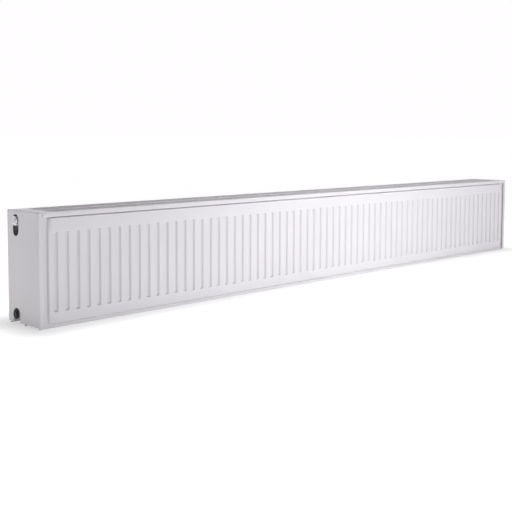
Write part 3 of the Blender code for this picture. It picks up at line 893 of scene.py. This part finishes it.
def vent_nozzle():
    """The ring that swivels in the plug, with its spout and the spout's outlet."""
    profile = [
        (0.0078, 0.0058), (0.0083, 0.0056), (0.0086, 0.0052), (0.0086, 0.0031), (0.0046, 0.0031),
        (0.0046, 0.0055), (0.0049, 0.0058),
    ]
    nozzle = turned("swivel_nozzle", profile, VENT_PLACE, -1)
    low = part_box("vent_nozzle")[0].z
    spout = vent_block("spout", SPOUT_HEIGHTS, SPOUT_HALF, low, low + SPOUT_LENGTH, SPOUT_ROUNDING)
    start = (-END - OUTLET_HEIGHT, FITTING_Y, low - OUTLET_PAST)
    stop = (-END - OUTLET_HEIGHT, FITTING_Y, low + OUTLET_DEPTH)
    outlet = cylinder("outlet", OUTLET_RADIUS, start, stop, 16)
    steps = [("UNION", spout), ("DIFFERENCE", outlet)]
    finish_piece(carve(nozzle, *steps), "vent_nozzle", "nozzle", "vent_plastic")


def bleed_screw():
    """The screw with its slit square head, and the ring that seals it."""
    profile = [
        (0.0, 0.0030), (0.0036, 0.0030), (0.0041, 0.0026), (0.0041, -0.0002), (0.0031, -0.0002),
        (0.0031, -0.0020), (0.0041, -0.0020), (0.0041, -0.0050), (0.0018, -0.0072),
        (0.0, -0.0072),
    ]
    screw = turned("bleed_screw_turned", profile, VENT_PLACE, -1)
    low, high = FITTING_HIGH - SQUARE_HALF, FITTING_HIGH + SQUARE_HALF
    square = vent_block("square", SQUARE_HEIGHTS, SQUARE_HALF, low, high, SQUARE_ROUNDING, 2)
    low, high = FITTING_HIGH - SLIT_HALF, FITTING_HIGH + SLIT_HALF
    slit = vent_block("slit", SLIT_HEIGHTS, SLIT_REACH, low, high)
    steps = [("UNION", square), ("DIFFERENCE", slit)]
    finish_piece(carve(screw, *steps), "bleed_screw", "bleed_screw", "chrome")
    centre = (-END - O_RING_HEIGHT, FITTING_Y, FITTING_HIGH)
    o_ring = torus("bleed_o_ring", O_RING_RADIUS, O_RING_TUBE, centre, (1, 0, 0))
    finish_piece(o_ring, "bleed_screw_ring", "bleed_ring", "seal_rubber")


def face_seal(node, side, name):
    """The flat ring under a plug's edge."""
    profile = [
        (0.0112, 0.0017), (0.0116, 0.0015), (0.0118, 0.0010), (0.0116, 0.0005), (0.0112, 0.0003),
        (0.0099, 0.0003), (0.0097, 0.0005), (0.0097, 0.0015), (0.0099, 0.0017),
    ]
    seal = turned(name, profile, (side * END, FITTING_Y, FITTING_HIGH), side)
    finish_piece(seal, node, "radiator", "seal_rubber")


def blank_plug():
    """The plated plug in the fourth tapping, with a six-sided socket for a key."""
    profile = [
        (0.0, 0.0052), (0.0112, 0.0052), (0.0119, 0.0050), (0.0124, 0.0045), (0.0125, 0.0040),
        (0.0125, 0.0024), (0.0121, 0.0020), (0.0091, 0.0020), (0.0091, -0.0092),
        (0.0084, -0.0100), (0.0, -0.0100),
    ]
    plug = turned("blanking_plug", profile, (END, FITTING_Y, FITTING_HIGH), 1)
    socket = rod_x("socket", SOCKET_RADIUS, END + SOCKET_FLOOR, END + PAST, FITTING_Y, FITTING_HIGH, 6)
    narrow, wide = LEAD_IN_RADII
    start, stop = (END + height for height in LEAD_IN_HEIGHTS)
    lead_in = rod_x("lead_in", narrow, start, stop, FITTING_Y, FITTING_HIGH, top_radius=wide)
    steps = [("DIFFERENCE", socket), ("DIFFERENCE", lead_in)]
    finish_piece(carve(plug, *steps), "blank_plug", "radiator", "chrome")


def transport_cap(end, side):
    """A push-in cap with a round-edged flange, a dished pull knob and eight moulded ribs round it."""
    place = (side * END, FITTING_Y, FITTING_LOW)
    profile = [
        (0.0, 0.0046), (0.0040, 0.0047), (0.0052, 0.0052), (0.0060, 0.0059), (0.0066, 0.0060),
        (0.0071, 0.0058), (0.0073, 0.0052), (0.0076, 0.0036), (0.0080, 0.0033), (0.0125, 0.0033),
        (0.0130, 0.0031), (0.0134, 0.0026), (0.0135, 0.0020), (0.0135, 0.0008), (0.0132, 0.0003),
        (0.0090, 0.0003), (0.0090, -0.0030), (0.0089, -0.0090), (0.0086, -0.0095),
        (0.0072, -0.0095), (0.0072, -0.0010), (0.0, -0.0010),
    ]
    cap = turned(f"push_in_cap_{end}", profile, place, side)
    inner, outer = sorted(side * (END + height) for height in RIB_HEIGHTS)
    low = (inner, FITTING_Y - RIB_HALF, FITTING_LOW + RIB_REACH[0])
    high = (outer, FITTING_Y + RIB_HALF, FITTING_LOW + RIB_REACH[1])
    centre = Matrix.Translation(Vector(place))
    ribs = []
    for i in range(RIB_COUNT):
        spin = Matrix.Rotation(2 * math.pi * i / RIB_COUNT, 4, "X")
        rib = box(f"rib_{i}", low, high)
        rib.data.transform(centre @ spin @ centre.inverted())
        ribs.append(("UNION", rib))
    finish_piece(carve(cap, *ribs), f"tapping_cap_{end}", f"{end}_cap", "cap_plastic")


# ---- camera, light and floor ----


def camera():
    """The camera stands at the left end, a little above the top, and looks along the front."""
    data = bpy.data.cameras.new("camera")
    data.sensor_width = 36.0
    data.lens = 63.2
    data.shift_y = -0.1156
    obj = bpy.data.objects.new("camera", data)
    bpy.context.scene.collection.objects.link(obj)
    turn = Matrix.Rotation(math.radians(-45.03), 4, "Z")
    tilt = Matrix.Rotation(math.radians(90.0 - 4.22), 4, "X")
    roll = Matrix.Rotation(math.radians(0.23), 4, "Z")
    obj.matrix_world = Matrix.Translation((-2.357, -2.063, 0.510)) @ turn @ tilt @ roll
    bpy.context.scene.camera = obj


def area_light(name, place, target, size, power, spread_angle):
    """A white soft box at place that faces target."""
    data = bpy.data.lights.new(name, "AREA")
    data.shape = "RECTANGLE"
    data.size, data.size_y = size
    data.energy = power
    data.spread = math.radians(spread_angle)
    obj = bpy.data.objects.new(name, data)
    bpy.context.scene.collection.objects.link(obj)
    aim = (Vector(target) - Vector(place)).to_track_quat("-Z", "Y")
    obj.matrix_world = Matrix.Translation(Vector(place)) @ aim.to_matrix().to_4x4()
    obj.visible_camera = False


def sky():
    """A white studio, bright near the floor and dim overhead; past the left end it dims lower down."""
    world = bpy.data.worlds.new("studio")
    bpy.context.scene.world = world
    world.use_nodes = True
    tree = world.node_tree
    background = tree.nodes["Background"]
    place = tree.nodes.new("ShaderNodeTexCoord")
    split = tree.nodes.new("ShaderNodeSeparateXYZ")
    tree.links.new(place.outputs["Generated"], split.inputs["Vector"])
    sooner = map_range(tree, split.outputs["X"], (-1.0, 0.3), (0.12, 0.0))
    total = tree.nodes.new("ShaderNodeMath")
    total.operation = "ADD"
    tree.links.new(split.outputs["Z"], total.inputs[0])
    tree.links.new(sooner, total.inputs[1])
    dimming = map_range(tree, total.outputs["Value"], (0.15, 0.36), (0.0, 1.0), smooth=True)
    colour = tint(tree, dimming, (1.0, 0.985, 1.0), (0.20, 0.185, 0.20))
    tree.links.new(colour, background.inputs["Color"])


def floor_glow_with_painted_shadow(tree, shader):
    """Light from the paper itself as emission; it fades near the radiator, which paints a soft shadow
    there.
    """
    value = tree.nodes.new("ShaderNodeTexCoord").outputs["Object"]
    edge, nothing = (END, -FRONT_Y, 0.0), (0.0, 0.0, 0.0)
    for operation, other in (("ABSOLUTE", None), ("SUBTRACT", edge), ("MAXIMUM", nothing)):
        node = tree.nodes.new("ShaderNodeVectorMath")
        node.operation = operation
        if other:
            node.inputs[1].default_value = other
        tree.links.new(value, node.inputs[0])
        value = node.outputs["Vector"]
    away = tree.nodes.new("ShaderNodeVectorMath")
    away.operation = "LENGTH"
    tree.links.new(value, away.inputs[0])
    # the glow drops from 0.87 to 0.50 close to the radiator: a painted shadow round it
    glow = map_range(tree, away.outputs["Value"], (0.0, 0.14), (0.50, 0.87), smooth=True)
    tree.links.new(glow, shader.inputs["Emission Strength"])


def studio():
    """Plain pale floor, white studio and soft lights."""
    bpy.context.scene.view_settings.view_transform = "Standard"
    sky()
    area_light("key", (0.15, -1.7, 1.4), (0.0, 0.0, 0.15), (1.0, 0.6), 4.2, 70.0)
    area_light("right_wash", (2.0, -1.5, 0.9), (1.0, 0.0, 0.15), (0.8, 0.6), 2.0, 120.0)
    area_light("overhead", (0.0, 0.2, 2.2), (0.0, 0.0, 0.3), (3.0, 1.0), 13.0, 120.0)

    bm = bmesh.new()
    bmesh.ops.create_grid(bm, x_segments=1, y_segments=1, size=60.0)
    floor = add_bmesh("floor", bm)
    material, tree, shader = new_material("floor_paper", (0.5, 0.5, 0.5), 0.9)
    shader.inputs["Specular IOR Level"].default_value = 0.1
    shader.inputs["Emission Color"].default_value = (1.0, 1.0, 1.0, 1.0)
    # the paper glows, and less near the radiator: a painted shadow round it
    floor_glow_with_painted_shadow(tree, shader)
    vary_colour(tree, shader, 3.0, 2.0, (0.49, 0.49, 0.49), (0.51, 0.51, 0.51))
    floor.data.materials.append(material)


camera()
water_panels()
convector("front_convector", 1)
convector("middle_convector", -1)
convector("rear_convector", -1)
connections()
side_cover("left", -1)
side_cover("right", 1)
top_grille()
for level in ("lower", "upper"):
    for place in ("left", "middle", "right"):
        hanging_lug(f"hanging_lug_{level}_{place}")
for number in (1, 2, 3, 4):
    spring_clip(f"grille_clip_{number}", "x", "+z")
for place in ("front", "rear"):
    spring_clip(f"cover_clip_left_{place}", "z", "-x")
    spring_clip(f"cover_clip_right_{place}", "z", "+x")
vent_plug()
vent_nozzle()
bleed_screw()
face_seal("vent_plug_seal", -1, "vent_face_seal")
face_seal("blank_plug_seal", 1, "blank_face_seal")
blank_plug()
transport_cap("left", -1)
transport_cap("right", 1)
studio()
